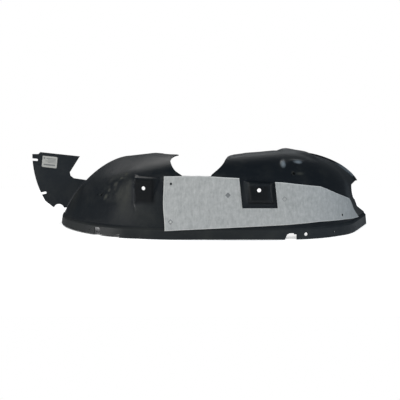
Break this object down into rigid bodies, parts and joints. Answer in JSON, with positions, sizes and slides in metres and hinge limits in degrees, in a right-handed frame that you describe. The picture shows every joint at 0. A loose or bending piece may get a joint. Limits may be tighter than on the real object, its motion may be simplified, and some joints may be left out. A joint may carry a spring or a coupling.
{
  "type": "wheel arch liner",
  "caption": "Moulded front wheel arch liner with a domed shell, fender lip, strut opening, screw bosses, extension flap and a felt panel.",
  "frame": {"origin": "middle of the overall box, at the floor on which the fender lip stands", "axes": "+X toward the vehicle's rear, +Y away from the convex side into the arch's mouth, +Z toward the vehicle's middle (inboard), up as it stands on its lip"},
  "size_m": [0.9448, 0.3766, 0.219],
  "materials": {
    "black_plastic": "satin moulded polypropylene",
    "grey_felt": "needled fibre felt",
    "pale_label": "blank film label"
  },
  "bodies": {
    "root": {"liner_shell": "black_plastic", "insulation_panel": "grey_felt", "label": "pale_label"}
  },
  "joints": []
}
